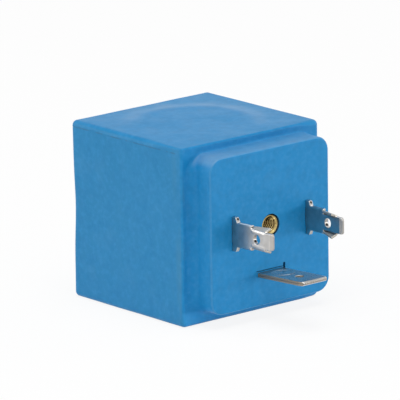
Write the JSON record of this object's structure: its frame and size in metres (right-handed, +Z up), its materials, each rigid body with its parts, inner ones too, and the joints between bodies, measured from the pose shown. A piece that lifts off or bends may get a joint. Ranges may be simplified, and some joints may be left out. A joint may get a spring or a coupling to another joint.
{
  "type": "solenoid coil",
  "caption": "Square encapsulated solenoid coil with a blind armature bore from below and a raised plug face with flat blades and a screw insert.",
  "frame": {"origin": "on the bore axis, at the mouth of the bore in the base face", "axes": "+Z up along the bore towards the closed top; the terminal blades point to -Y; +X to the right seen from the blades"},
  "size_m": [0.0338, 0.0495, 0.0341],
  "materials": {
    "casing_blue": "moulded satin blue",
    "resin_blue": "cast resin, semi-gloss",
    "spool_plastic": "natural glass-filled nylon",
    "copper_wire": "enamelled copper",
    "wrap": "polyester wrap",
    "yoke_steel": "zinc-plated mild steel",
    "bush_steel": "bright mild steel",
    "washer_fibre": "vulcanised fibre",
    "block_plastic": "black nylon",
    "tinned_blade": "bright tin plate on brass",
    "earth_blade": "dull tin plate on brass",
    "rivet_steel": "plated steel",
    "insert_brass": "turned brass",
    "sleeve_white": "glass-fibre sleeving",
    "solder": "soft solder",
    "seal_rubber": "black rubber",
    "spring_steel": "spring wire"
  },
  "bodies": {
    "root": {"casing": "casing_blue", "resin_fill": "resin_blue", "bobbin": "spool_plastic", "winding": "copper_wire", "winding_tape": "wrap", "yoke_frame": "yoke_steel", "yoke_plate": "yoke_steel", "upper_flux_bush": "bush_steel", "lower_flux_bush": "bush_steel", "upper_washer": "washer_fibre", "lower_washer": "washer_fibre", "terminal_block": "block_plastic", "line_terminal_left": "tinned_blade", "line_terminal_right": "tinned_blade", "earth_terminal": "earth_blade", "earth_rivet": "rivet_steel", "thread_insert": "insert_brass", "start_lead": "copper_wire", "finish_lead": "copper_wire", "start_sleeve": "sleeve_white", "finish_sleeve": "sleeve_white", "solder_joints": "solder", "bore_seal": "seal_rubber", "retaining_ring": "spring_steel"}
  },
  "joints": []
}
